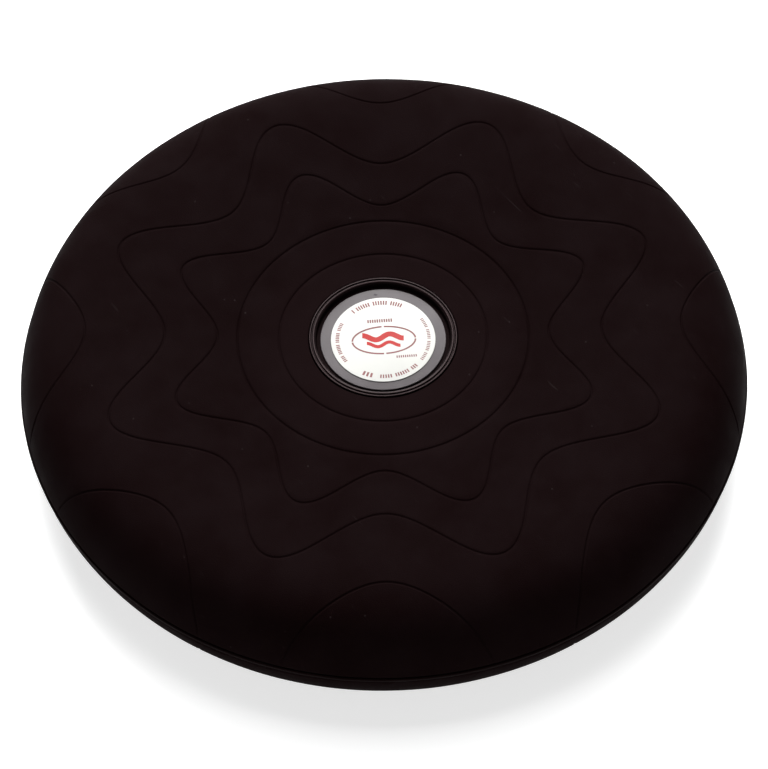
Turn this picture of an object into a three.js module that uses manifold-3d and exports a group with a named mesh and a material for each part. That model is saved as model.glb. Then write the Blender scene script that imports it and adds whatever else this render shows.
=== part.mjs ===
// Inflatable wobble cushion: two moulded PVC half shells welded at the rim, a dish pressed into each pole,
// a two-layer label in the upper dish, and a needle valve with a push-in plug in the lower one.
// Millimetres, +Z up, origin on the floor under the centre. Each mesh is one physical piece.
import * as THREE from "three";
import { mergeVertices } from "three/addons/utils/BufferGeometryUtils.js";
import Module from "manifold-3d";

const wasm = await Module();
wasm.setup();

// ---- driving dimensions ----
const OVERALL_RADIUS = 165; // over the weld bead: a 33 cm cushion
const BEAD_PROUD = 0.4;
const SHELL_RADIUS = OVERALL_RADIUS - BEAD_PROUD;
const WALL = 3.2;
const GAP = 0.3; // between pieces that touch

// Half-shell outline: crown * (1 - x^p)^(1/q) for the rounded shoulder, less a shallow dish in the middle.
// The lower half is fuller and rounder, and flat at `foot` below the weld: the ring that it stands on.
const UPPER = { crown: 33.8, p: 15, q: 1.49, foot: Infinity, collar: 5.5, floor: 2.5 };
const LOWER = { crown: 37.5, p: 10.2, q: 2.02, foot: 30.5, collar: 11, floor: 8 };
const DISH_DEPTH = 13.2;
const DISH_RADIUS = 208;
const FOOT_RING = [113, 135];
const EQUATOR_Z = LOWER.foot;

// Rim weld: a flat web between the two shells' inner lands, with a bead between their bevelled edges
const LAND_WIDTH = 7;
const LAND_THICK = 3;
const WEB_HALF = 0.6;
const BEAD_HALF = 1.1;
const BEVEL = { width: 0.9, top: 2.6 };

// Pole opening, and the dish pressed into it; `floor` above is how deep its floor lies
const OPENING_RADIUS = 33.6;
const DISH_OUTER = OPENING_RADIUS - GAP;
const DISH_INNER = 30;
const DISH_WALL = 3;
const DISH_LIP = 0.5;
const LIP_GROOVE = { radius: 32.1, depth: 0.6 }; // the fine groove round the dish's rolled rim
const VALVE_HOLE = 5.3;

// Label: a grey vinyl disc with a smaller printed white disc on it, set a little off its centre
const BACKING_RADIUS = 28.25;
const BACKING_THICK = 0.8;
const FACE_RADIUS = 23.5;
const FACE_THICK = 0.3;
const FACE_SHIFT = 0.5;
const ADHESIVE = 0.1;

// Valve pieces: lengths along the valve, inwards from the outer face of the piece before
const HOUSING = { flange: 9, flangeThick: 1.5, tube: 5, bore: 3.4, length: 13, lip: 1.5, lipBore: 2.2 };
const PLUG = { head: 6.4, headThick: 2, stem: 3.1, stemLength: 5, pin: 0.45, pinLength: 4 };
const BUNG = { radius: 3.1, length: 5.8, funnel: 1.9, needle: 0.7, funnelDepth: 2, blind: 1 };
const GRIP_SLOT = { width: 2.4, depth: 0.8, bar: 1.5 };

const ROUND = 64; // segments round the cushion
const ROUND_VALVE = 24;

// ---- materials ----
const matte = (color, roughness) => new THREE.MeshStandardMaterial({ color, roughness, metalness: 0 });
const BLACK_PVC = matte(0x1c1314, 0.55);
const WELD_PVC = matte(0x181112, 0.5);
const GREY_VINYL = matte(0x756c6f, 0.5);
const WHITE_VINYL = matte(0xfcfefc, 0.4);
const HOUSING_PVC = matte(0x2a2526, 0.45);
const BUNG_RUBBER = matte(0x3a3230, 0.8);
const PLUG_PVC = matte(0x50494b, 0.45);

// ---- geometry helpers ----
// A solid turned about +Z from a profile of [radius, height] points; one that is off the axis closes on itself
function turned(profile, segments = ROUND) {
  const points = profile.map(([r, z]) => new THREE.Vector2(r, z));
  const onAxis = points[0].x === 0 && points[points.length - 1].x === 0;
  if (!onAxis) points.push(points[0].clone());
  return new THREE.LatheGeometry(points, segments).rotateX(Math.PI / 2);
}

const mirrored = (profile) => profile.map(([r, z]) => [r, -z]).reverse();

function piece(name, geometry, material, z, y = 0) {
  const mesh = new THREE.Mesh(geometry, material);
  mesh.name = name;
  mesh.position.set(0, y, z);
  return mesh;
}

function solidFrom(geometry) {
  const bare = geometry.clone();
  bare.deleteAttribute("normal");
  bare.deleteAttribute("uv");
  const merged = mergeVertices(bare, 1e-4);
  const vertProperties = new Float32Array(merged.attributes.position.array);
  const triVerts = new Uint32Array(merged.index.array);
  return new wasm.Manifold(new wasm.Mesh({ numProp: 3, vertProperties, triVerts }));
}

function geometryFrom(solid) {
  const { vertProperties, triVerts } = solid.getMesh();
  const geometry = new THREE.BufferGeometry();
  geometry.setAttribute("position", new THREE.BufferAttribute(new Float32Array(vertProperties), 3));
  geometry.setIndex(new THREE.BufferAttribute(new Uint32Array(triVerts), 1));
  geometry.computeVertexNormals();
  return geometry;
}

// ---- half-shell outline, as heights away from the weld ----
function outerHeight(half, r) {
  const x = Math.min(r / SHELL_RADIUS, 1);
  const shoulder = half.crown * (1 - x ** half.p) ** (1 / half.q);
  const dish = DISH_DEPTH * (1 - (r / DISH_RADIUS) ** 2) ** 2;
  return Math.min(shoulder - dish, half.foot);
}

// The side wall's radius at a small height
function wallRadius(half, height) {
  const dish = DISH_DEPTH * (1 - (SHELL_RADIUS / DISH_RADIUS) ** 2) ** 2;
  return SHELL_RADIUS * (1 - ((height + dish) / half.crown) ** half.q) ** (1 / half.p);
}

// Radii from the pole opening out to the weld, close together round the shoulder
function stations(half, dishSteps, shoulderSteps) {
  const [footIn, footOut] = FOOT_RING;
  const radii = [];
  for (let i = 0; i < dishSteps; i++) {
    radii.push(OPENING_RADIUS + ((footIn - OPENING_RADIUS) * i) / dishSteps);
  }
  radii.push(footIn, (footIn + footOut) / 2);
  const start = Math.acos((footOut / SHELL_RADIUS) ** (half.p / 2));
  for (let i = 0; i <= shoulderSteps; i++) {
    const angle = start * (1 - i / shoulderSteps);
    radii.push(SHELL_RADIUS * Math.cos(angle) ** (2 / half.p));
  }
  return radii;
}

// The outline moved inwards by `inset`, square to the surface
function outline(half, inset, dishSteps, shoulderSteps) {
  const step = 0.05;
  return stations(half, dishSteps, shoulderSteps).map((r) => {
    const rise = outerHeight(half, r + step) - outerHeight(half, r - step);
    const slope = r + step > SHELL_RADIUS ? -1000 : rise / (2 * step);
    const length = Math.hypot(1, slope);
    return [r + (inset * slope) / length, outerHeight(half, r) - inset / length];
  });
}

// Cross-section of a half shell: collar, inside from the pole to the edge, welding land, outside back again
function shellProfile(half) {
  const edge = WEB_HALF + GAP;
  const landTop = edge + LAND_THICK;
  const landInner = SHELL_RADIUS - LAND_WIDTH;
  const collarOuter = OPENING_RADIUS + WALL;
  const pole = outerHeight(half, OPENING_RADIUS);
  const outside = outline(half, 0, 3, 8).filter(([, z]) => z > BEVEL.top + 0.4);
  const inside = outline(half, WALL, 3, 5).filter(([r, z]) => z > landTop && r > collarOuter);
  return [
    [OPENING_RADIUS, pole - half.collar],
    [collarOuter, pole - half.collar],
    [collarOuter, pole - WALL + 0.1],
    ...inside,
    [SHELL_RADIUS - WALL - 0.2, landTop + 0.4],
    [landInner, landTop],
    [landInner, edge],
    [SHELL_RADIUS - BEVEL.width, edge],
    [wallRadius(half, BEVEL.top), BEVEL.top],
    ...outside.reverse(),
  ];
}

function rimWeldProfile() {
  const inner = SHELL_RADIUS - LAND_WIDTH;
  const root = SHELL_RADIUS - BEVEL.width + GAP;
  return [
    [inner, -WEB_HALF],
    [root, -WEB_HALF],
    [root + 0.3, -BEAD_HALF],
    [OVERALL_RADIUS - 0.2, -BEAD_HALF + 0.4],
    [OVERALL_RADIUS, 0],
    [OVERALL_RADIUS - 0.2, BEAD_HALF - 0.4],
    [root + 0.3, BEAD_HALF],
    [root, WEB_HALF],
    [inner, WEB_HALF],
  ];
}

// ---- pole dishes and label, as heights above the shell's surface at the pole opening ----
function dishProfile(half, hole) {
  const start = hole > 0 ? hole : 0;
  return [
    [start, -half.floor - DISH_WALL],
    [DISH_OUTER, -half.floor - DISH_WALL],
    [DISH_OUTER, 0],
    [DISH_OUTER - 0.2, DISH_LIP],
    [DISH_OUTER - 0.5, DISH_LIP],
    [LIP_GROOVE.radius, DISH_LIP - LIP_GROOVE.depth],
    [DISH_INNER + 1.6, DISH_LIP],
    [DISH_INNER + 0.8, DISH_LIP],
    [DISH_INNER + 0.4, 0],
    [DISH_INNER, -half.floor],
    [start, -half.floor],
  ];
}

function discProfile(radius, bottom, thick) {
  return [
    [0, bottom],
    [radius, bottom],
    [radius, bottom + thick],
    [0, bottom + thick],
  ];
}

// ---- valve pieces: heights above the outer face of the lower dish's floor ----
const HOUSING_FACE = GAP + HOUSING.flangeThick;
const HOUSING_END = HOUSING_FACE - HOUSING.length;
const PLUG_SEAT = HOUSING_FACE + GAP;
const STEM_END = PLUG_SEAT - PLUG.stemLength;
const BUNG_END = HOUSING_END + HOUSING.lip + GAP;

function housingProfile() {
  return [
    [HOUSING.lipBore, HOUSING_END],
    [HOUSING.tube, HOUSING_END],
    [HOUSING.tube, GAP],
    [HOUSING.flange, GAP],
    [HOUSING.flange, HOUSING_FACE - 0.5],
    [HOUSING.flange - 0.5, HOUSING_FACE],
    [HOUSING.bore, HOUSING_FACE],
    [HOUSING.bore, HOUSING_END + HOUSING.lip],
    [HOUSING.lipBore, HOUSING_END + HOUSING.lip],
  ];
}

function bungProfile() {
  const mouth = BUNG_END + BUNG.length;
  return [
    [0, BUNG_END],
    [BUNG.radius, BUNG_END],
    [BUNG.radius, mouth],
    [BUNG.funnel, mouth],
    [BUNG.needle, mouth - BUNG.funnelDepth],
    [BUNG.needle, BUNG_END + BUNG.blind],
    [0, BUNG_END + BUNG.blind],
  ];
}

function plugProfile() {
  const face = PLUG_SEAT + PLUG.headThick;
  return [
    [0, STEM_END - PLUG.pinLength],
    [PLUG.pin, STEM_END - PLUG.pinLength + 0.4],
    [PLUG.pin, STEM_END],
    [PLUG.stem - 0.4, STEM_END],
    [PLUG.stem, STEM_END + 0.6],
    [PLUG.stem, PLUG_SEAT],
    [PLUG.head, PLUG_SEAT],
    [PLUG.head, face - 0.7],
    [PLUG.head - 0.8, face],
    [0, face],
  ];
}

// Two finger slots in the plug's head leave a bar to pull
function slottedPlug() {
  const face = PLUG_SEAT + PLUG.headThick;
  let plug = solidFrom(turned(mirrored(plugProfile()), ROUND_VALVE));
  for (const side of [-1, 1]) {
    const slot = new THREE.BoxGeometry(GRIP_SLOT.width, PLUG.head, GRIP_SLOT.depth * 2);
    slot.translate((side * (GRIP_SLOT.bar + GRIP_SLOT.width)) / 2, 0, -face);
    plug = plug.subtract(solidFrom(slot));
  }
  return geometryFrom(plug);
}

// ---- assembly ----
const upperPole = EQUATOR_Z + outerHeight(UPPER, OPENING_RADIUS);
const lowerPole = EQUATOR_Z - outerHeight(LOWER, OPENING_RADIUS);
const valveZ = lowerPole + LOWER.floor;
const backingBottom = ADHESIVE - UPPER.floor;
const faceBottom = backingBottom + BACKING_THICK + ADHESIVE;
const backing = discProfile(BACKING_RADIUS, backingBottom, BACKING_THICK);
const face = discProfile(FACE_RADIUS, faceBottom, FACE_THICK);

const cushion = new THREE.Group();
cushion.add(
  piece("upper_shell", turned(shellProfile(UPPER)), BLACK_PVC, EQUATOR_Z),
  piece("lower_shell", turned(mirrored(shellProfile(LOWER))), BLACK_PVC, EQUATOR_Z),
  piece("rim_weld", turned(rimWeldProfile()), WELD_PVC, EQUATOR_Z),
  piece("top_dish", turned(dishProfile(UPPER, 0)), BLACK_PVC, upperPole),
  piece("label_backing", turned(backing), GREY_VINYL, upperPole),
  piece("label_face", turned(face), WHITE_VINYL, upperPole, -FACE_SHIFT),
  piece("valve_dish", turned(mirrored(dishProfile(LOWER, VALVE_HOLE))), BLACK_PVC, lowerPole),
  piece("valve_housing", turned(mirrored(housingProfile()), ROUND_VALVE), HOUSING_PVC, valveZ),
  piece("valve_bung", turned(mirrored(bungProfile()), ROUND_VALVE), BUNG_RUBBER, valveZ),
  piece("valve_plug", slottedPlug(), PLUG_PVC, valveZ),
);

export default cushion;
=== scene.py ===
"""An inflatable wobble cushion: the visual model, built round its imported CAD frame.

Shapes are worked out in millimetres and become metres when a mesh is made. A half shell is described by
its outline: a radius from the cushion's axis and a height away from the plane of the rim weld.
"""
import math

import bmesh
import bpy
import numpy as np
from mathutils import Matrix, Vector, noise


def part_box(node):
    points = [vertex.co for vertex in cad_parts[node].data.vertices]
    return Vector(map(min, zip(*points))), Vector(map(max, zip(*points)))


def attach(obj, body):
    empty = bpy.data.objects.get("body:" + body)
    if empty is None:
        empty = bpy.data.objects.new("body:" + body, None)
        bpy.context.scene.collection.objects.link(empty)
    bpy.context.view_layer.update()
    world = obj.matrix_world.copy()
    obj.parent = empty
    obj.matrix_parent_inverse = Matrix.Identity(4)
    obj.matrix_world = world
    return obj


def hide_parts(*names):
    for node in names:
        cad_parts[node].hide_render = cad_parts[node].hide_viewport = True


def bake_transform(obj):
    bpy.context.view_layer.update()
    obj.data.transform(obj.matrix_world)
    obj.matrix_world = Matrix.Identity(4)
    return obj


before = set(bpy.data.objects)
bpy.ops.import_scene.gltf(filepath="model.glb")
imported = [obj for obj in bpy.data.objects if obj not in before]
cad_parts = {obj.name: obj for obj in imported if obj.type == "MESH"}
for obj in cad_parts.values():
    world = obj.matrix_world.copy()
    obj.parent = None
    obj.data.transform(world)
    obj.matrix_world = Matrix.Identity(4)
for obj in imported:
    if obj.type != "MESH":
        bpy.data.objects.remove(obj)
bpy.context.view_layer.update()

MM = 0.001

# ---- sizes taken from the CAD frame ----


def box_mm(node):
    """Lowest and highest corner of a CAD node, in millimetres."""
    low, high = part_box(node)
    return low / MM, high / MM


BEAD_RADIUS = box_mm("rim_weld")[1].x
WELD_Z = (box_mm("rim_weld")[0].z + box_mm("rim_weld")[1].z) / 2
BACKING_RADIUS = box_mm("label_backing")[1].x
FACE_RADIUS = box_mm("label_face")[1].x
DISH_OUTER = box_mm("top_dish")[1].x

# ---- half-shell outline, as in the CAD source ----
SHELL_RADIUS = BEAD_RADIUS - 0.4
DISH_DEPTH = 13.2
DISH_RADIUS = 208
WALL = 3.2
EDGE_HEIGHT = 0.9  # where each shell stops, away from the weld's plane
BEVEL_WIDTH = 0.9
BEVEL_TOP = 1.7
LAND_RADIUS = SHELL_RADIUS - 7
LAND_TOP = 3.9
OPENING_RADIUS = 33.6

# ---- moulded groove lines ----
CIRCLES = (46.7, 65.3)
SPLIT_GAP = 0.01  # a shell is split in two at the second circle, and each part ends this far from it
LOBES = 8
STAR_MEAN = 84.9
STAR_SWING = 11.86
STAR_PINCH = 1.43  # narrows the valleys and the lobes
STAR_FINE = 0.22
STAR_TURN = 0.005  # radians, from the +Y axis
STAR_SCALES = (1.0, 1.317, 1.796)
GROOVE_HALF_WIDTH = 0.85
GROOVE_DEPTH = 0.5
GROOVE_STEPS = 4  # mesh rows from the middle of a groove to its side

# ---- mesh fineness ----
COLUMNS = 34  # mesh columns from a star's valley to its lobe
SECTOR = math.pi / LOBES
LINE_SAMPLES = 1500  # samples along a line before it is spaced evenly
TAIL_SEGMENTS = 144  # round the hidden inner side of a shell
MERGE_DISTANCE = 2e-6  # metres
SHARP_ANGLE = math.radians(50)  # an edge that bends more than this is shaded as sharp


def smoothstep(x):
    x = np.clip(x, 0, 1)
    return x * x * (3 - 2 * x)


def star(u):
    """The star line's radius at angle u from a valley."""
    swing = STAR_SWING * np.cos(LOBES * u)
    pinch = STAR_PINCH * np.cos(2 * LOBES * u)
    fine = STAR_FINE * np.cos(3 * LOBES * u)
    return STAR_MEAN - swing + pinch - fine


# ---- meshes ----


def mesh_object(bm, name, material):
    """Cleans a bmesh in metres and makes it a smooth object in the scene."""
    bmesh.ops.remove_doubles(bm, verts=bm.verts, dist=MERGE_DISTANCE)
    bmesh.ops.dissolve_degenerate(bm, edges=bm.edges, dist=MERGE_DISTANCE / 4)
    bmesh.ops.recalc_face_normals(bm, faces=bm.faces)
    mesh = bpy.data.meshes.new(name)
    bm.to_mesh(mesh)
    bm.free()
    mesh.polygons.foreach_set("use_smooth", [True] * len(mesh.polygons))
    mesh.set_sharp_from_angle(angle=SHARP_ANGLE)
    mesh.materials.append(material)
    made = bpy.data.objects.new(name, mesh)
    bpy.context.scene.collection.objects.link(made)
    return made


def finish_mesh(bm, name, body, material):
    """Makes a mesh a piece of the cushion, which rides on the body if one is given."""
    piece = mesh_object(bm, name, material)
    if body:
        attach(piece, body)
    return piece


def stand_in(bm, name, node, body, material):
    """Finishes a mesh as the piece that replaces a CAD node."""
    piece = finish_mesh(bm, name, body, material)
    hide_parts(node)
    return piece


def bmesh_from(points, faces):
    """A bmesh from points in millimetres."""
    mesh = bpy.data.meshes.new("building")
    mesh.from_pydata((np.asarray(points) * MM).tolist(), [], faces)
    bm = bmesh.new()
    bm.from_mesh(mesh)
    bpy.data.meshes.remove(mesh)
    return bm


def fillet(corners, steps):
    """A profile of (radius, height, rounding) corners, each turned into an arc of points."""
    count = len(corners)
    on_axis = corners[0][0] == 0 and corners[-1][0] == 0
    points = []
    for i, (r, z, rounding) in enumerate(corners):
        here = Vector((r, z))
        if rounding == 0 or (on_axis and i in (0, count - 1)):
            points.append((r, z))
            continue
        before = Vector(corners[i - 1][:2]) - here
        after = Vector(corners[(i + 1) % count][:2]) - here
        bend = before.angle(after)
        reach = rounding / math.tan(bend / 2)
        inwards = (before.normalized() + after.normalized()).normalized()
        middle = here + inwards * rounding / math.sin(bend / 2)
        first = here + before.normalized() * reach - middle
        last = here + after.normalized() * reach - middle
        for step in range(steps + 1):
            share = step / steps
            arm = first.lerp(last, share).normalized() * rounding
            points.append(tuple(middle + arm))
    return points, on_axis


def lathe(corners, segments, steps=4, flip=1, base=0.0):
    """A bmesh turned about Z. flip -1 turns the profile upside down; base is added to its heights."""
    profile, on_axis = fillet(corners, steps)
    r = np.array([p[0] for p in profile])
    z = base + flip * np.array([p[1] for p in profile])
    angle = np.arange(segments) * 2 * math.pi / segments
    points = np.stack([
        np.outer(r, np.cos(angle)),
        np.outer(r, np.sin(angle)),
        np.repeat(z[:, None], segments, 1),
    ], axis=-1).reshape(-1, 3)
    rows = len(profile) - 1 if on_axis else len(profile)
    faces = []
    for i in range(rows):
        low, high = i * segments, ((i + 1) % len(profile)) * segments
        for j in range(segments):
            k = (j + 1) % segments
            faces.append((low + j, low + k, high + k, high + j))
    return bmesh_from(points, faces)


# ---- half shells ----


class Half:
    """One half shell's outline. Distances along it run from the pole to the weld."""

    def __init__(self, side, crown, p, q, foot, groove_end):
        self.side = side
        self.groove_end = groove_end  # a groove that meets the weld runs out over this length
        self.crown = crown
        self.p = p
        self.q = q
        self.foot = foot
        # even steps over the flat top, then even turns round the shoulder, where the outline drops steeply
        shoulder = 0.8
        inner = np.linspace(OPENING_RADIUS, shoulder * SHELL_RADIUS, 400)
        start = math.acos(shoulder ** (p / 2))
        turn = np.linspace(start, 0, 3000)[1:]
        self.r = np.concatenate([inner, SHELL_RADIUS * np.cos(turn) ** (2 / p)])
        self.h = self.height(self.r)
        self.t = np.concatenate([[0], np.cumsum(np.hypot(np.diff(self.r), np.diff(self.h)))])
        keep = self.h >= BEVEL_TOP
        self.r, self.h, self.t = self.r[keep], self.h[keep], self.t[keep]
        across, up = np.gradient(self.r, self.t), np.gradient(self.h, self.t)
        size = np.hypot(across, up)
        self.normal_r, self.normal_h = -up / size, across / size
        self.edge_r, self.edge_t = self.r[-1], self.t[-1]

    def height(self, r):
        x = np.minimum(r / SHELL_RADIUS, 1)
        shoulder = self.crown * (1 - x ** self.p) ** (1 / self.q)
        height = shoulder - DISH_DEPTH * (1 - (r / DISH_RADIUS) ** 2) ** 2
        soft = 0.12  # how gently the foot turns flat
        return height - soft * np.logaddexp(0, (height - self.foot) / soft)

    def distance(self, r):
        return np.interp(r, self.r, self.t)

    def radius(self, t):
        return np.interp(t, self.t, self.r)

    def wall_radius(self, h):
        """The side wall's radius at height h."""
        wall = self.r > 0.9 * SHELL_RADIUS
        return float(np.interp(h, self.h[wall][::-1], self.r[wall][::-1]))

    def place(self, t, depth):
        """Radius and height at distance t, sunk into the surface by depth."""
        r = np.interp(t, self.t, self.r) - depth * np.interp(t, self.t, self.normal_r)
        h = np.interp(t, self.t, self.h) - depth * np.interp(t, self.t, self.normal_h)
        return r, h


def line(half, radius_at):
    """A line round the shell, from a valley to a lobe or to the weld.

    It comes back as distances and angles, evenly spaced along the line.
    """
    u = np.linspace(0, SECTOR, LINE_SAMPLES)
    r = radius_at(u)
    if r[-1] > half.edge_r:
        end = np.interp(half.edge_r, r, u)
        u = np.linspace(0, end, LINE_SAMPLES)
        r = np.minimum(radius_at(u), half.edge_r)
    t = half.distance(r)
    run = np.concatenate([[0], np.cumsum(np.hypot(np.diff(t), r[1:] * np.diff(u)))])
    even = np.linspace(0, run[-1], COLUMNS + 1)
    return np.interp(even, run, t), np.interp(even, run, u)


def plain_row(half, radius_at):
    t, u = line(half, radius_at)
    r, h = half.place(t, 0)
    return r, h, u


def groove_rows(half, radius_at, steps):
    """Mesh rows beside and in a groove; steps count outwards from its middle."""
    t, u = line(half, radius_at)
    r = half.radius(t)
    along_t, along_u = np.gradient(t), r * np.gradient(u)
    along_t[0] = 0
    ends_at_weld = t[-1] > half.edge_t - 1e-6
    if not ends_at_weld:
        along_t[-1] = 0
    size = np.hypot(along_t, along_u)
    along_t, along_u = along_t / size, along_u / size
    rows = []
    for step in steps:
        away = GROOVE_HALF_WIDTH * step / GROOVE_STEPS
        move_t, move_u = away * along_u, -away * along_t
        if ends_at_weld:  # slide along the groove, so that its end stays on the weld's edge
            share = smoothstep((np.linspace(0, 1, COLUMNS + 1) - 0.8) / 0.2)
            slide = -share * move_t / np.maximum(along_t, 0.05)
            move_t, move_u = move_t + slide * along_t, move_u + slide * along_u
        depth = GROOVE_DEPTH * (1 + math.cos(math.pi * step / GROOVE_STEPS)) / 2
        running_out = smoothstep((half.edge_t - t) / half.groove_end)
        row_r, row_h = half.place(np.minimum(t + move_t, half.edge_t), depth * running_out)
        rows.append((row_r, row_h, u + move_u / r))
    return rows


BOTH_SIDES = range(-GROOVE_STEPS, GROOVE_STEPS + 1)
INNER_SIDE = range(-GROOVE_STEPS, 1)
OUTER_SIDE = range(0, GROOVE_STEPS + 1)


def ring_rows(half, radii):
    return [plain_row(half, lambda u, r=r: np.full_like(u, r)) for r in radii]


def lip_rows(half, collar):
    """The rounded edge of the shell's pole opening."""
    pole = half.height(OPENING_RADIUS)
    u = np.linspace(0, SECTOR, COLUMNS + 1)
    rounding = 0.5
    edge = [(0, -collar), (0, -collar / 2), (0, -1.2)]
    for a in np.linspace(0, 0.45 * math.pi, 5):
        edge.append((rounding * (1 - math.cos(a)), rounding * (math.sin(a) - 1)))
    return [(np.full_like(u, OPENING_RADIUS + r), np.full_like(u, pole + h), u) for r, h in edge]


def centre_rows(half, collar):
    """Mesh rows from the pole opening to the split."""
    first, second = CIRCLES
    clear_inside, clear_outside = 2.2, 2.4  # from a groove's middle to the plain rows beside it
    rows = lip_rows(half, collar)
    rows += ring_rows(half, np.linspace(OPENING_RADIUS + 0.9, first - clear_inside, 4))
    rows += groove_rows(half, lambda u: np.full_like(u, first), BOTH_SIDES)
    rows += ring_rows(half, np.linspace(first + clear_outside, second - clear_inside, 5))
    rows += groove_rows(half, lambda u: np.full_like(u, second - SPLIT_GAP), INNER_SIDE)
    return rows


def star_rows(half, scales):
    return [plain_row(half, lambda u, k=k: k * star(u)) for k in scales]


def scales_between(half, low, high, at, count):
    """Star scales from low to high, evenly spaced along the outline at angle `at` from a valley."""
    stops = np.linspace(half.distance(low * star(at)), half.distance(high * star(at)), count + 2)
    return half.radius(stops[1:-1]) / star(at)


def outer_rows(half):
    """Mesh rows from the split to the weld; the last ones meet the weld between a valley and a lobe."""
    first, second, third = STAR_SCALES
    clear, clear_outside, clear_third = 0.026, 0.022, 0.014  # star scales from a groove to the plain rows
    lobe_at_weld = half.edge_r / star(SECTOR)
    valley_at_weld = half.edge_r / star(0)
    rows = groove_rows(half, lambda u: np.full_like(u, CIRCLES[1] + SPLIT_GAP), OUTER_SIDE)
    for share in (0.2, 0.4, 0.6, 0.77, 0.88):
        rows.append(plain_row(half, lambda u, s=share: (1 - s) * CIRCLES[1] + s * star(u)))
    rows += groove_rows(half, lambda u: first * star(u), BOTH_SIDES)
    rows += star_rows(half, np.linspace(first + clear, second - clear, 7))
    rows += groove_rows(half, lambda u: second * star(u), BOTH_SIDES)
    rows += star_rows(half, [second + clear_outside])
    rows += star_rows(half, scales_between(half, second + clear_outside, lobe_at_weld, SECTOR, 18))
    rows += star_rows(half, [lobe_at_weld])
    rows += star_rows(half, np.linspace(lobe_at_weld, third - clear_third, 6)[1:])
    rows += groove_rows(half, lambda u: third * star(u), BOTH_SIDES)
    rows += star_rows(half, [third + clear_third])
    rows += star_rows(half, scales_between(half, third + clear_third, valley_at_weld, 0, 18))
    rows += star_rows(half, [valley_at_weld])
    return rows


def patches(half, rows):
    """Repeats the rows from valley to lobe all round the shell, and returns points and faces."""
    r = np.array([row[0] for row in rows])
    h = np.array([row[1] for row in rows])
    u = np.array([row[2] for row in rows])
    count, width = r.shape
    points, faces = [], []
    for lobe in range(LOBES):
        for hand in (1, -1):
            angle = STAR_TURN + lobe * 2 * SECTOR + hand * u
            offset = len(points) * count * width
            z = WELD_Z + half.side * h
            points.append(np.stack([r * np.sin(angle), r * np.cos(angle), z], axis=-1).reshape(-1, 3))
            for i in range(count - 1):
                for j in range(width - 1):
                    a = offset + i * width + j
                    faces.append((a, a + width, a + width + 1, a + 1))
    return np.concatenate(points), faces


def boundary_ring(bm, radius):
    """The open edge's vertices within 5 mm of that radius, in order of their angle."""
    found = {v for e in bm.edges if e.is_boundary for v in e.verts}
    found = [v for v in found if abs(math.hypot(v.co.x, v.co.y) / MM - radius) < 5]
    return sorted(found, key=lambda v: math.atan2(v.co.y, v.co.x))


def zip_rings(bm, first, second):
    """Joins two rings of vertices of different counts with triangles."""
    def angle(ring, i):
        v = ring[i % len(ring)].co
        return math.atan2(v.y, v.x) + 2 * math.pi * (i // len(ring))

    i = j = 0
    while i < len(first) or j < len(second):
        a, b = first[i % len(first)], second[j % len(second)]
        if j >= len(second) or (i < len(first) and angle(first, i + 1) <= angle(second, j + 1)):
            i += 1
            bm.faces.new((a, first[i % len(first)], b))
        else:
            j += 1
            bm.faces.new((a, second[j % len(second)], b))


def tail(bm, half, profile, start_ring, end_ring):
    """The hidden inner side: a turned strip from one open ring of the outer side to the other."""
    rings = []
    for r, h in profile:
        ring = []
        for step in range(TAIL_SEGMENTS):
            angle = -math.pi + (step + 0.5) * 2 * math.pi / TAIL_SEGMENTS
            point = Vector((r * math.cos(angle), r * math.sin(angle), WELD_Z + half.side * h))
            ring.append(bm.verts.new(point * MM))
        rings.append(ring)
    zip_rings(bm, start_ring, rings[0])
    for near, far in zip(rings, rings[1:]):
        for step in range(TAIL_SEGMENTS):
            following = (step + 1) % TAIL_SEGMENTS
            bm.faces.new((near[step], near[following], far[following], far[step]))
    zip_rings(bm, rings[-1], end_ring)


def inner_outline(half, low_radius, high_radius, count):
    """Points of the shell's inner side, one wall thickness in from the outline."""
    points = []
    for t in np.linspace(half.distance(low_radius), half.distance(high_radius), count):
        r, h = half.place(t, WALL)
        points.append((float(r), float(h)))
    return points


def ripple(bm):
    """The faint unevenness of a soft moulding, about a tenth of a millimetre, with none at the weld."""
    for v in bm.verts:
        from_weld = abs(v.co.z / MM - WELD_Z)
        above_floor = v.co.z / MM
        strength = 0.16 * min(1, from_weld / 12) * min(1, above_floor / 3)
        flat = Vector((v.co.x, v.co.y, 0))
        wave = noise.noise(flat * 26) + 0.5 * noise.noise(flat * 61)
        v.co.z += wave * strength * MM


def open_skin(half, rows):
    """The visible outer side of a shell, its patches merged and its two edges still open."""
    points, faces = patches(half, rows)
    bm = bmesh_from(points, faces)
    bmesh.ops.remove_doubles(bm, verts=bm.verts, dist=MERGE_DISTANCE)
    return bm


def padded_skin(bm, name, node, body):
    """Finishes a shell's part: a faint ripple, then the piece in its CAD node's place."""
    ripple(bm)
    skin = stand_in(bm, name, node, body, SHELL_PVC)
    return skin


def centre_skin(half, collar, name, node, body):
    """The shell's part inside the split, with a collar down the pole opening."""
    bm = open_skin(half, centre_rows(half, collar))
    outside = boundary_ring(bm, CIRCLES[1])
    inside = boundary_ring(bm, OPENING_RADIUS)
    split = CIRCLES[1] - SPLIT_GAP
    top = half.height(split)
    pole = half.height(OPENING_RADIUS)
    collar_radius = OPENING_RADIUS + WALL
    profile = [(split, top - 1.2), (split, top - WALL)]
    profile += inner_outline(half, split - 2, collar_radius + 1.5, 8)
    profile += [(collar_radius, pole - WALL - 1), (collar_radius, pole - collar)]
    tail(bm, half, profile, outside, inside)
    padded_skin(bm, name, node, body)


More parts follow.
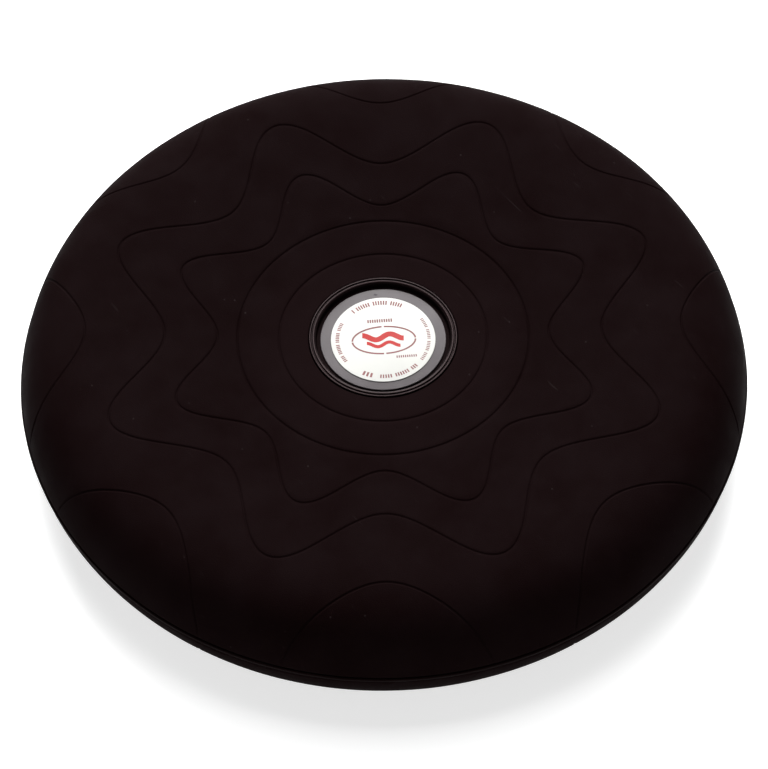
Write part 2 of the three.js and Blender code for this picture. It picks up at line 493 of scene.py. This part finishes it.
def outer_skin(half, name, node):
    """The shell's part from the split to the weld; it rides on no body."""
    bm = open_skin(half, outer_rows(half))
    weld_edge = boundary_ring(bm, half.edge_r)
    inside = boundary_ring(bm, CIRCLES[1])
    split = CIRCLES[1] + SPLIT_GAP
    top = half.height(split)
    bevel = SHELL_RADIUS - BEVEL_WIDTH
    on_bevel = (half.edge_r + bevel) / 2 + 0.05
    profile = [(on_bevel, 1.25), (bevel, EDGE_HEIGHT)]
    profile += [(LAND_RADIUS, EDGE_HEIGHT), (LAND_RADIUS, LAND_TOP)]
    profile += inner_outline(half, half.wall_radius(LAND_TOP + 1.5), split + 2, 46)
    profile += [(split, top - WALL), (split, top - 1.2)]
    tail(bm, half, profile, weld_edge, inside)
    return padded_skin(bm, name, node, None)


# ---- materials ----
DUST = (0.05, 0.04, 0.04)  # the colour of specks and scuffs


def new_material(name):
    material = bpy.data.materials.new(name)
    material.use_nodes = True
    tree = material.node_tree
    return material, tree.nodes, tree.links, tree.nodes["Principled BSDF"]


def noise_node(nodes, links, where, scale, detail=2.0, roughness=0.5):
    node = nodes.new("ShaderNodeTexNoise")
    node.inputs["Scale"].default_value = scale
    node.inputs["Detail"].default_value = detail
    node.inputs["Roughness"].default_value = roughness
    links.new(where, node.inputs["Vector"])
    return node


def colour_between(nodes, links, value, dark, light):
    """A colour that drifts from dark to light with a noise, whose values mostly lie near a half."""
    node = nodes.new("ShaderNodeValToRGB")
    low, high = node.color_ramp.elements
    low.position = 0.32
    low.color = (*dark, 1)
    high.position = 0.68
    high.color = (*light, 1)
    links.new(value, node.inputs["Fac"])
    return node.outputs["Color"]


def range_node(nodes, links, value, source, target):
    """Maps the source range of a value to the target range, clamped at both ends."""
    node = nodes.new("ShaderNodeMapRange")
    node.inputs["From Min"].default_value, node.inputs["From Max"].default_value = source
    node.inputs["To Min"].default_value, node.inputs["To Max"].default_value = target
    links.new(value, node.inputs["Value"])
    return node


def paint_glow_near_opening(nodes, links, where, colour, light, share):
    """Mixes a paler colour in round the pole opening: a painted glow, as of glare from the white label
    beside it.
    """
    flat = nodes.new("ShaderNodeVectorMath")
    flat.operation = "MULTIPLY"
    flat.inputs[1].default_value = (1, 1, 0)
    links.new(where, flat.inputs[0])
    radius = nodes.new("ShaderNodeVectorMath")
    radius.operation = "LENGTH"
    links.new(flat.outputs["Vector"], radius.inputs[0])
    reach = (OPENING_RADIUS * MM, 1.1 * CIRCLES[1] * MM)
    near = range_node(nodes, links, radius.outputs["Value"], reach, (share, 0))
    near.interpolation_type = "SMOOTHSTEP"
    return mix_in(nodes, links, colour, near.outputs["Result"], [1.5 * c for c in light])


def mix_in(nodes, links, colour, amount, other):
    """The colour, with some of the other one in it."""
    mix = nodes.new("ShaderNodeMix")
    mix.data_type = "RGBA"
    mix.inputs["B"].default_value = (*other, 1)
    links.new(amount, mix.inputs["Factor"])
    links.new(colour, mix.inputs["A"])
    return mix.outputs["Result"]


def specks(nodes, links, where, strength):
    """A few round specks of dust, in some of a Voronoi pattern's cells."""
    cells = nodes.new("ShaderNodeTexVoronoi")
    cells.inputs["Scale"].default_value = 210
    links.new(where, cells.inputs["Vector"])
    size = range_node(nodes, links, cells.outputs["Distance"], (0.11, 0.03), (0, strength))
    few = nodes.new("ShaderNodeSeparateColor")
    links.new(cells.outputs["Color"], few.inputs["Color"])
    chosen = nodes.new("ShaderNodeMath")
    chosen.operation = "GREATER_THAN"
    chosen.inputs[1].default_value = 0.94
    links.new(few.outputs["Red"], chosen.inputs[0])
    amount = nodes.new("ShaderNodeMath")
    amount.operation = "MULTIPLY"
    links.new(size.outputs["Result"], amount.inputs[0])
    links.new(chosen.outputs["Value"], amount.inputs[1])
    return amount.outputs["Value"]


def scuffs(nodes, links, where, strength):
    """Short thin rubbed streaks, where a noise drawn out along one direction is strongest."""
    drawn_out = nodes.new("ShaderNodeMapping")
    drawn_out.vector_type = "TEXTURE"
    drawn_out.inputs["Rotation"].default_value = (0, 0, math.radians(-52))
    drawn_out.inputs["Scale"].default_value = (12, 1, 1)
    links.new(where, drawn_out.inputs["Vector"])
    streak = noise_node(nodes, links, drawn_out.outputs["Vector"], 620, detail=1)
    amount = range_node(nodes, links, streak.outputs["Fac"], (0.76, 0.84), (0, strength))
    return amount.outputs["Result"]


def moulded(name, dark, light, roughness, specular, grain=0.3, dust=0.0, painted_glow=0.0, tint=(1, 1, 1)):
    """Soft moulded plastic: a slow colour drift, a fine grain, uneven gloss, a few specks of dust and, if
    asked, a painted glow round the pole opening.
    """
    material, nodes, links, shader = new_material(name)
    where = nodes.new("ShaderNodeTexCoord").outputs["Object"]
    drift = noise_node(nodes, links, where, 38, detail=4, roughness=0.6)
    colour = colour_between(nodes, links, drift.outputs["Fac"], dark, light)
    # painted light: a paler glow round the pole opening
    if painted_glow:
        colour = paint_glow_near_opening(nodes, links, where, colour, light, painted_glow)
    if dust:
        colour = mix_in(nodes, links, colour, specks(nodes, links, where, dust), DUST)
        colour = mix_in(nodes, links, colour, scuffs(nodes, links, where, dust / 3), DUST)
    links.new(colour, shader.inputs["Base Color"])
    patchy = noise_node(nodes, links, where, 90, detail=3)
    spread = (roughness - 0.06, roughness + 0.07)
    gloss = range_node(nodes, links, patchy.outputs["Fac"], (0.3, 0.7), spread)
    links.new(gloss.outputs["Result"], shader.inputs["Roughness"])
    shader.inputs["Specular IOR Level"].default_value = specular
    shader.inputs["Specular Tint"].default_value = (*tint, 1)
    fine = noise_node(nodes, links, where, 2300, detail=2)
    bump = nodes.new("ShaderNodeBump")
    bump.inputs["Strength"].default_value = grain
    bump.inputs["Distance"].default_value = 0.0002
    links.new(fine.outputs["Fac"], bump.inputs["Height"])
    links.new(bump.outputs["Normal"], shader.inputs["Normal"])
    return material


def polish_rim(material, low, high, dull, bright):
    """Makes the gloss rise from dull to bright between two heights, as on a rim that is rubbed smooth."""
    nodes, links = material.node_tree.nodes, material.node_tree.links
    height = nodes.new("ShaderNodeSeparateXYZ")
    links.new(nodes.new("ShaderNodeTexCoord").outputs["Object"], height.inputs["Vector"])
    gloss = range_node(nodes, links, height.outputs["Z"], (low * MM, high * MM), (dull, bright))
    links.new(gloss.outputs["Result"], nodes["Principled BSDF"].inputs["Specular IOR Level"])


WARM = (1, 0.7, 0.72)  # the black's reddish cast, also in its sheen
SHELL_PVC = moulded(
    "shell_pvc", (0.0038, 0.0016, 0.0017), (0.0051, 0.0026, 0.0028), 0.6, 0.003,
    # the shell's paler zone round the pole opening is a painted glow
    grain=0.7, dust=0.3, painted_glow=0.4, tint=WARM,
)
WELD_PVC = moulded("weld_pvc", (0.0034, 0.0014, 0.0014), (0.005, 0.0022, 0.0022), 0.45, 0.008, tint=WARM)
DISH_PVC = moulded("dish_pvc", (0.003, 0.0014, 0.0015), (0.005, 0.0026, 0.0028), 0.3, 0.15, tint=WARM)
GREY_VINYL = moulded("grey_vinyl", (0.056, 0.048, 0.051), (0.067, 0.057, 0.061), 0.45, 0.15, grain=0.05)
NICK_GREY = moulded("nick_grey", (0.03, 0.026, 0.03), (0.04, 0.034, 0.04), 0.5, 0.1, grain=0.05)
WHITE_VINYL = moulded("white_vinyl", (0.4, 0.4, 0.378), (0.43, 0.43, 0.407), 0.4, 0.3, grain=0.03)
RED_INK = moulded("red_ink", (0.3, 0.014, 0.012), (0.35, 0.02, 0.018), 0.45, 0.1, grain=0.02)
ROSE_INK = moulded("rose_ink", (0.14, 0.052, 0.055), (0.2, 0.08, 0.08), 0.45, 0.1, grain=0.02)
VALVE_PVC = moulded("valve_pvc", (0.011, 0.009, 0.0095), (0.017, 0.014, 0.0145), 0.38, 0.45)
BUNG_RUBBER = moulded("bung_rubber", (0.026, 0.02, 0.019), (0.036, 0.028, 0.026), 0.75, 0.3)
PLUG_PVC = moulded("plug_pvc", (0.055, 0.046, 0.049), (0.075, 0.064, 0.067), 0.4, 0.4)

# ---- build: the shells ----
NO_FOOT = 60  # higher than the crown, so nothing is made flat
UPPER = Half(1, crown=33.8, p=15, q=1.49, foot=NO_FOOT, groove_end=5)
LOWER = Half(-1, crown=37.5, p=10.2, q=2.02, foot=WELD_Z, groove_end=30)
UPPER_COLLAR = 5.5
LOWER_COLLAR = 11

upper_skin = outer_skin(UPPER, "upper_skin", "upper_shell")
lower_skin = outer_skin(LOWER, "lower_skin", "lower_shell")
centre_skin(UPPER, UPPER_COLLAR, "upper_skin_centre", "upper_shell", "top")
centre_skin(LOWER, LOWER_COLLAR, "lower_skin_centre", "lower_shell", "base")

# ---- build: the rim weld ----
web = 0.6  # half the thickness of the flat ring that lies between the two shells
bead = 1.05  # half the thickness of the bead round its edge
root = SHELL_RADIUS - BEVEL_WIDTH + 0.3
weld_profile = [
    (LAND_RADIUS, -web, 0.2),
    (root, -web, 0),
    (root + 0.2, -bead, 0.1),
    (BEAD_RADIUS, -bead, 0.75),
    (BEAD_RADIUS, bead, 0.75),
    (root + 0.2, bead, 0.1),
    (root, web, 0),
    (LAND_RADIUS, web, 0.2),
]
weld = lathe(weld_profile, 720, steps=5, base=WELD_Z)
for v in weld.verts:  # the bead's width wanders a little, as a welded seam's does
    radius = math.hypot(v.co.x, v.co.y) / MM
    if radius > root + 0.3:
        pull = 0.1 * (noise.noise(v.co * 60) - 1) + 0.04 * (noise.noise(v.co * 300) - 1)
        v.co.xy *= 1 + pull / radius
stand_in(weld, "rim_bead", "rim_weld", "rim", WELD_PVC)

# ---- build: the pole dishes ----


def dish(name, node, body, flip, floor, wall, hole):
    """A pressed-in dish with a rolled rim, in the CAD node's place. It returns the height of its pole."""
    low, high = box_mm(node)
    lip = 0.5
    groove_floor = -0.15  # a narrow groove parts the rim into two lines
    pole = high.z - lip if flip > 0 else low.z + lip
    inner = DISH_OUTER - 3.3
    start = [(hole, -floor - wall, 0.2)] if hole else [(0, -floor - wall, 0)]
    end = [(hole, -floor, 0.3)] if hole else [(0, -floor, 0)]
    corners = start + [
        (DISH_OUTER, -floor - wall, 0.5),
        (DISH_OUTER, lip, 0.3),
        (DISH_OUTER - 0.7, lip, 0.25),
        (DISH_OUTER - 0.95, groove_floor, 0.1),
        (DISH_OUTER - 1.35, groove_floor, 0.1),
        (DISH_OUTER - 1.6, lip, 0.2),
        (inner + 0.35, lip, 1.15),
        (inner, -floor, 0.3),
    ] + end
    ring = lathe(corners, 256, steps=6, flip=flip, base=pole)
    stand_in(ring, name, node, body, DISH_PVC)
    return pole


LOWER_DISH_DEPTH = 8
upper_pole = dish("top_dish_ring", "top_dish", "top", 1, floor=2.5, wall=3, hole=0)
polish_rim(DISH_PVC, upper_pole - 0.6, upper_pole + 0.3, dull=0.004, bright=0.075)
lower_pole = dish("valve_dish_ring", "valve_dish", "base", -1, floor=LOWER_DISH_DEPTH, wall=3, hole=5.3)

# ---- build: the label ----


def disc(radius, low, high, low_rounding, high_rounding):
    """A flat disc on the cushion's axis, from height low to height high."""
    corners = [(0, low, 0), (radius, low, low_rounding), (radius, high, high_rounding), (0, high, 0)]
    return lathe(corners, 256)


backing_low, backing_high = box_mm("label_backing")
backing = disc(BACKING_RADIUS, backing_low.z, backing_high.z, 0.15, 0.3)
stand_in(backing, "label_ring", "label_backing", "top", GREY_VINYL)

face_low, face_high = box_mm("label_face")
face_shift = (face_low.y + face_high.y) / 2
face = disc(FACE_RADIUS, face_low.z, face_high.z, 0.05, 0.12)
bmesh.ops.translate(face, verts=face.verts, vec=(0, face_shift * MM, 0))
stand_in(face, "label_disc", "label_face", "top", WHITE_VINYL)

# ---- build: the print, two plain waves in a broken oval and rows of dashes; no lettering ----
PRINT_TURN = math.radians(3.5)
PRINT_PROUD = 0.03  # and as much is sunk in


def slab(outline, surface):
    """Points and faces of a thin plate at that height. Its outline is measured from the print's middle."""
    count = len(outline)
    cosine, sine = math.cos(PRINT_TURN), math.sin(PRINT_TURN)
    points = []
    for z in (surface - PRINT_PROUD, surface + PRINT_PROUD):
        points += [(x * cosine - y * sine, x * sine + y * cosine + face_shift, z) for x, y in outline]
    faces = [tuple(range(count - 1, -1, -1)), tuple(range(count, 2 * count))]
    faces += [(i, (i + 1) % count, (i + 1) % count + count, i + count) for i in range(count)]
    return points, faces


def band(path, width):
    """An outline of that width round a path of points, with square ends."""
    left, right = [], []
    for i, (x, y) in enumerate(path):
        before, after = path[max(i - 1, 0)], path[min(i + 1, len(path) - 1)]
        along = Vector((after[0] - before[0], after[1] - before[1])).normalized()
        left.append((x - along.y * width / 2, y + along.x * width / 2))
        right.append((x + along.y * width / 2, y - along.x * width / 2))
    return left[::-1] + right


def arc(radius, start, end, steps=12, centre=(0, 0), squash=1.0):
    """Points on an arc, angles in degrees counter-clockwise from +X."""
    points = []
    for i in range(steps + 1):
        angle = math.radians(start + (end - start) * i / steps)
        x, y = radius * math.cos(angle), radius * squash * math.sin(angle)
        points.append((centre[0] + x, centre[1] + y))
    return points


def dashes(radius, start, end, height, pitch, dash):
    """Short upright dashes along an arc, every seventh one left out. The angles are in degrees."""
    found = []
    step = math.degrees(pitch / radius)
    width = math.degrees(dash / radius)
    angle = start
    index = 0
    while angle + width <= end:
        if index % 7 != 5:
            found.append(band(arc(radius, angle, angle + width, 2), height))
        angle += step
        index += 1
    return found


def straight_dashes(left, right, y, height, pitch, dash):
    """A row of short upright dashes along a straight line."""
    found = []
    x = left
    while x + dash <= right:
        found.append(band([(x, y), (x + dash, y)], height))
        x += pitch
    return found


def printed(name, outlines, material, surface=face_high.z):
    """One piece that has a plate for each outline."""
    points, faces = [], []
    for outline in outlines:
        more_points, more_faces = slab(outline, surface)
        faces += [tuple(i + len(points) for i in f) for f in more_faces]
        points += more_points
    finish_mesh(bmesh_from(points, faces), name, "top", material)


def wave(y, length, height, turns):
    """A wavy path along X, centred on the label."""
    stops = np.linspace(-0.5, 0.5, 49)
    return [(x * length, y + height * math.sin(2 * math.pi * turns * x)) for x in stops]


waves = [band(wave(1.3, 18.5, 1.4, 1.5), 2.8), band(wave(-2.9, 15, 1.1, 1.5), 1.8)]
printed("label_print_waves", waves, RED_INK)
oval = [band(arc(14.2, start, start + 86, 24, (0.3, -0.5), 0.53), 0.8) for start in (2, 92, 182, 272)]
printed("label_print_oval", oval, ROSE_INK)

# a small moulding nick on the grey disc's far side
nick = [(-2.6, 25.6), (-1.6, 25.2), (-0.5, 25.5), (-1.1, 25.9), (-1.8, 26.4)]
printed("label_nick", [nick], NICK_GREY, backing_high.z)

ROW = 20.6  # the radius that the rows of small print run along
small = dashes(ROW, 62, 128, 2.3, 1.15, 0.66)
small += dashes(ROW, 150, 214, 1.7, 0.95, 0.55)
small += dashes(ROW, -38, 34, 1.5, 0.95, 0.45)
small += dashes(ROW, 240, 256, 2.4, 1.7, 1.0)
small += dashes(ROW, 262, 314, 1.9, 1.15, 0.66)
small += straight_dashes(-6.4, 5.4, 10.4, 1.8, 1.05, 0.65)
small += straight_dashes(5.2, 14.6, -10.2, 1.3, 0.95, 0.55)
printed("label_print_dashes", small, ROSE_INK)

# ---- build: the valve, upside down in the lower dish ----
valve_floor = lower_pole + LOWER_DISH_DEPTH
housing_face = 1.8
housing_end = housing_face - 13
housing_profile = [
    (2.2, housing_end, 0.15),
    (5, housing_end, 0.4),
    (5, 0.3, 0.2),
    (9, 0.3, 0.15),
    (9, housing_face, 0.55),
    (3.4, housing_face, 0.3),
    (3.4, housing_end + 1.5, 0.1),
    (2.2, housing_end + 1.5, 0.1),
]
housing = lathe(housing_profile, 128, flip=-1, base=valve_floor)
stand_in(housing, "valve_flange", "valve_housing", "base", VALVE_PVC)

bung_end = housing_end + 1.8
bung_mouth = bung_end + 5.8
bung_profile = [
    (0, bung_end, 0),
    (3.1, bung_end, 0.4),
    (3.1, bung_mouth, 0.3),
    (1.9, bung_mouth, 0.25),
    (0.7, bung_mouth - 2, 0.3),
    (0.7, bung_end + 1, 0.2),
    (0, bung_end + 1, 0),
]
bung = lathe(bung_profile, 96, flip=-1, base=valve_floor)
stand_in(bung, "valve_core", "valve_bung", "base", BUNG_RUBBER)

plug_seat = housing_face + 0.3
plug_face = plug_seat + 2
stem_end = plug_seat - 5
head_radii = np.linspace(5.6, 0.15, 38)  # close rings, so that the finger slots can be sunk in
plug_profile = [
    (0, stem_end - 4, 0),
    (0.3, stem_end - 4, 0.1),
    (0.45, stem_end - 3.5, 0.2),
    (0.45, stem_end, 0.12),
    (2.7, stem_end, 0.25),
    (3.1, stem_end + 0.7, 0.3),
    (3.1, plug_seat - 1.9, 0.1),
    (3.28, plug_seat - 1.6, 0.1),
    (3.1, plug_seat - 1.3, 0.1),
    (3.1, plug_seat, 0.15),
    (6.4, plug_seat, 0.25),
    (6.4, plug_face - 0.1, 0.6),
]
plug_profile += [(float(r), plug_face, 0) for r in head_radii]
plug_profile += [(0, plug_face, 0)]
plug = lathe(plug_profile, 160, steps=3, flip=-1, base=valve_floor)
slot_depth = 0.8
for v in plug.verts:  # two finger slots leave a bar to pull
    on_face = valve_floor - v.co.z / MM > plug_face - 0.05
    if on_face:
        x, y = abs(v.co.x) / MM, abs(v.co.y) / MM
        across = smoothstep((x - 0.65) / 0.35) * smoothstep((3.5 - x) / 0.35)
        length = smoothstep((3.4 - y) / 0.4)
        v.co.z += slot_depth * MM * float(across * length)
stand_in(plug, "valve_stopper", "valve_plug", "plug", PLUG_PVC)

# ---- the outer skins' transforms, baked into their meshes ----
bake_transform(upper_skin)
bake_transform(lower_skin)

# ---- stage ----


def floor_material():
    """A pale sheet that glows a little, as on a light table, so that the cushion's shadow stays faint."""
    material, nodes, links, shader = new_material("pale_floor")
    shader.inputs["Base Color"].default_value = (0.6, 0.6, 0.6, 1)
    shader.inputs["Emission Color"].default_value = (1, 1, 1, 1)
    shader.inputs["Emission Strength"].default_value = 0.7
    shader.inputs["Roughness"].default_value = 0.9
    shader.inputs["Specular IOR Level"].default_value = 0.1
    return material


# a round sheet whose edge bends up into a low wall, so that level views also have a pale background
FLOOR_REACH = 6000
FLOOR_BEND = 900
FLOOR_WALL = 1500
FLOOR_SHEET = 20
sweep_profile = [
    (0, -FLOOR_SHEET, 0),
    (FLOOR_REACH + FLOOR_SHEET, -FLOOR_SHEET, FLOOR_BEND + FLOOR_SHEET),
    (FLOOR_REACH + FLOOR_SHEET, FLOOR_WALL, 0),
    (FLOOR_REACH, FLOOR_WALL, 0),
    (FLOOR_REACH, 0, FLOOR_BEND),
    (0, 0, 0),
]
floor = mesh_object(lathe(sweep_profile, 72, steps=8), "floor", floor_material())


def softbox(name, where, width, length, power):
    """A rectangular area light that faces the cushion, its length running from front to back."""
    data = bpy.data.lights.new(name, "AREA")
    data.shape = "RECTANGLE"
    data.size = width
    data.size_y = length
    data.energy = power
    lamp = bpy.data.objects.new(name, data)
    lamp.location = where
    lamp.rotation_mode = "QUATERNION"
    lamp.rotation_quaternion = (-Vector(where)).to_track_quat("-Z", "Y")
    bpy.context.scene.collection.objects.link(lamp)


softbox("key", (-0.1, 2.12, 1.4), 2.0, 2.0, 140)
softbox("overhead", (0.0, 1.1, 2.24), 1.2, 2.0, 65)

world = bpy.data.worlds.new("studio")
world.use_nodes = True
world.node_tree.nodes["Background"].inputs["Color"].default_value = (1, 1, 1, 1)
world.node_tree.nodes["Background"].inputs["Strength"].default_value = 0.12
bpy.context.scene.world = world
bpy.context.scene.view_settings.view_transform = "Standard"

# ---- camera: a long lens from the front, a little over half way up ----
SENSOR = 36
LENS = 129.07
DISTANCE = 1248.3
ELEVATION = 0.9467
ROLL = 0.0176
target = Vector((0, -11.13, WELD_Z)) * MM
back = Vector((0, -math.cos(ELEVATION), math.sin(ELEVATION)))
camera_data = bpy.data.cameras.new("camera")
camera_data.sensor_width = SENSOR
camera_data.lens = LENS
camera = bpy.data.objects.new("camera", camera_data)
aim = back.to_track_quat("Z", "Y").to_matrix().to_4x4()
place = Matrix.Translation(target + back * DISTANCE * MM)
camera.matrix_world = place @ aim @ Matrix.Rotation(-ROLL, 4, "Z")
bpy.context.scene.collection.objects.link(camera)
bpy.context.scene.camera = camera
